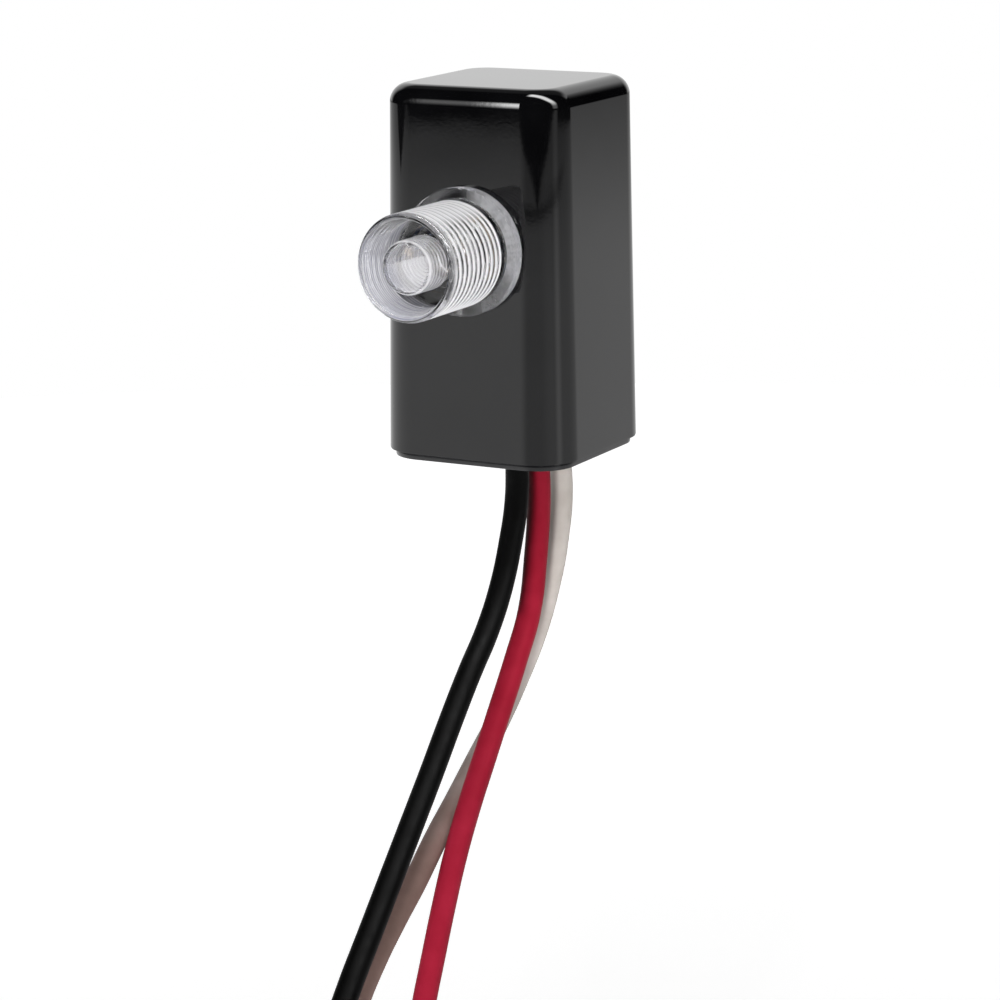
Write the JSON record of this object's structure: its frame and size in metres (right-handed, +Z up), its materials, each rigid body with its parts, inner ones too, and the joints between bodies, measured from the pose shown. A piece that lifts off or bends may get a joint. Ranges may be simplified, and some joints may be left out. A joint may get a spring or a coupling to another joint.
{
  "type": "photocell switch",
  "caption": "Dusk-to-dawn photocell switch: upright black housing with a threaded clear lens on its front and insulated leads hanging from its base.",
  "frame": {"origin": "centre of the lens flange's front face, on the lens axis, where a panel seats", "axes": "the lens points along -Y, +Z is up along the housing, and +X is to the right seen from the front"},
  "size_m": [0.0248, 0.074, 0.187],
  "materials": {
    "housing_black": "gloss moulded plastic",
    "plate_black": "gloss moulded plastic",
    "clear_lens": "clear moulded plastic",
    "board_laminate": "solder resist on laminate",
    "sensor_disc": "coated ceramic disc",
    "relay_case": "moulded plastic",
    "film_case": "moulded plastic",
    "can_sleeve": "shrunk sleeve on an aluminium can",
    "varistor_coat": "dipped epoxy",
    "resistor_coat": "flameproof coat",
    "chip_black": "moulded epoxy",
    "solder": "bright solder",
    "copper": "bare stranded copper",
    "insulation_black": "extruded insulation",
    "insulation_red": "extruded insulation",
    "insulation_white": "extruded insulation"
  },
  "bodies": {
    "root": {"housing": "housing_black", "base_plate": "plate_black", "lens": "clear_lens", "circuit_board": "board_laminate", "light_sensor": "sensor_disc", "relay": "relay_case", "film_capacitor": "film_case", "smoothing_capacitor": "can_sleeve", "varistor": "varistor_coat", "power_resistor": "resistor_coat", "transistor": "chip_black", "bridge_rectifier": "chip_black", "zener_diode": "chip_black", "chip_resistors": "chip_black", "solder_joints": "solder", "lead_tails": "copper", "lead_black": "insulation_black", "lead_red": "insulation_red", "lead_white": "insulation_white", "strands_black": "copper", "strands_red": "copper", "strands_white": "copper"}
  },
  "joints": []
}
